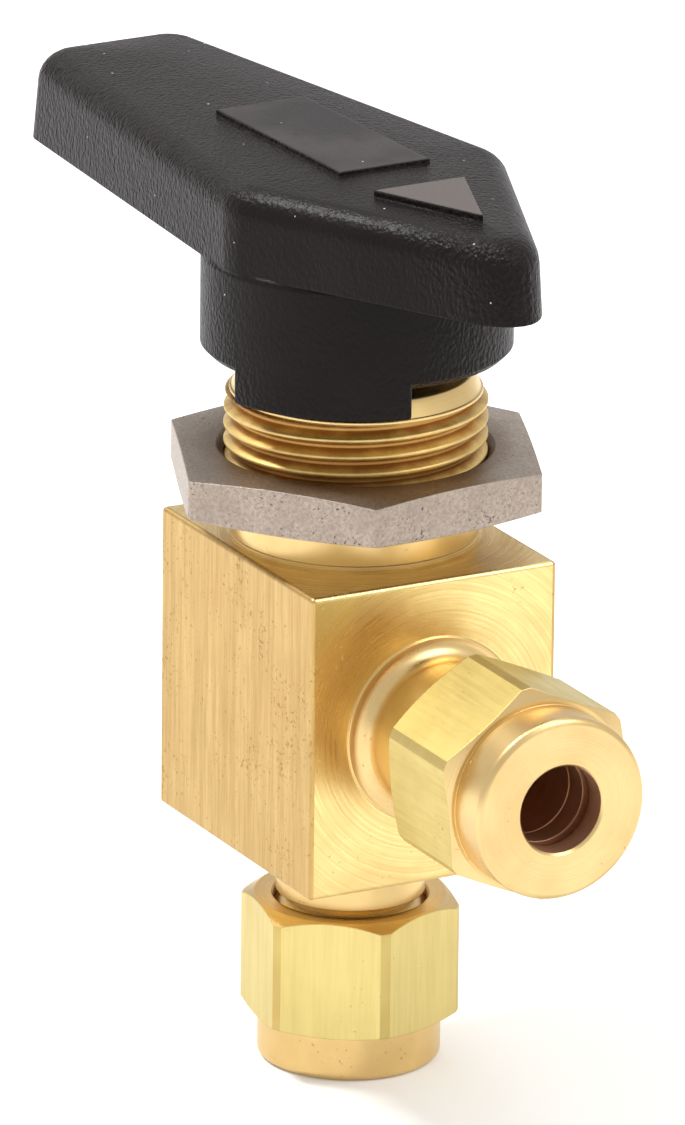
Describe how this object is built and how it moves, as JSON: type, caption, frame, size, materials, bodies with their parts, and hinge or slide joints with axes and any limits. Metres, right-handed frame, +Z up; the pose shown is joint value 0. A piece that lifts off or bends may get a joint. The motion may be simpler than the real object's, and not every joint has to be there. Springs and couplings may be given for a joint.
{
  "type": "quarter-turn angle valve",
  "caption": "Brass quarter-turn angle valve with a threaded panel neck and nut, compression tube fittings at right angles and a black lever with a pointer.",
  "frame": {"origin": "centre of the bottom fitting's outer end face, on the stem axis", "axes": "+Z up the stem axis towards the handle, +X out of the side port"},
  "size_m": [0.0705, 0.029, 0.0685],
  "materials": {
    "body_brass": "machined",
    "nut_brass": "bright machined",
    "nut_plated": "grainy matte plating",
    "handle_nylon": "moulded grain",
    "stem_steel": "polished",
    "spring_steel": "satin",
    "packing_white": "satin",
    "screw_black": "black oxide"
  },
  "bodies": {
    "body": {"valve_body": "body_brass", "lower_packing": "packing_white", "upper_packing": "packing_white", "bottom_seat_ring": "spring_steel", "side_seat_ring": "spring_steel", "lower_gland": "spring_steel", "disc_springs": "spring_steel", "upper_gland": "spring_steel", "gland_sleeve": "body_brass", "stem_bearing": "packing_white", "packing_bolt": "body_brass"},
    "turning_handle": {"handle": "handle_nylon", "handle_insert": "nut_brass", "handle_set_screw": "screw_black", "ball_stem": "stem_steel"},
    "panel_nut": {"panel_nut": "nut_plated"},
    "bottom_ferrules": {"bottom_front_ferrule": "nut_brass", "bottom_back_ferrule": "nut_brass"},
    "bottom_nut": {"bottom_tube_nut": "nut_brass"},
    "side_ferrules": {"side_front_ferrule": "nut_brass", "side_back_ferrule": "nut_brass"},
    "side_nut": {"side_tube_nut": "nut_brass"}
  },
  "joints": [
    {"name": "handle_turn", "type": "hinge", "parent": "body", "child": "turning_handle", "pos_m": [0, 0, 0.0288], "axis": [0, 0, 1], "range_deg": [-2, 88]},
    {"name": "panel_nut_travel", "type": "slide", "parent": "body", "child": "panel_nut", "axis": [0, 0, 1], "range_m": [-0.0031, 0.0038]},
    {"name": "bottom_ferrule_travel", "type": "slide", "parent": "body", "child": "bottom_ferrules", "axis": [0, 0, -1], "range_m": [0, 0.00255]},
    {"name": "bottom_nut_turn", "type": "hinge", "parent": "bottom_ferrules", "child": "bottom_nut", "pos_m": [0, 0, 0.006], "axis": [0, 0, -1], "range_deg": [0, 720]},
    {"name": "side_ferrule_travel", "type": "slide", "parent": "body", "child": "side_ferrules", "axis": [1, 0, 0], "range_m": [0, 0.00255]},
    {"name": "side_nut_turn", "type": "hinge", "parent": "side_ferrules", "child": "side_nut", "pos_m": [0.025, 0, 0.0288], "axis": [1, 0, 0], "range_deg": [0, 720]}
  ],
  "couplings": [
    {"joint": "bottom_ferrule_travel", "follows": "bottom_nut_turn", "m_per_rad": 0.00020213},
    {"joint": "side_ferrule_travel", "follows": "side_nut_turn", "m_per_rad": 0.00020213}
  ]
}
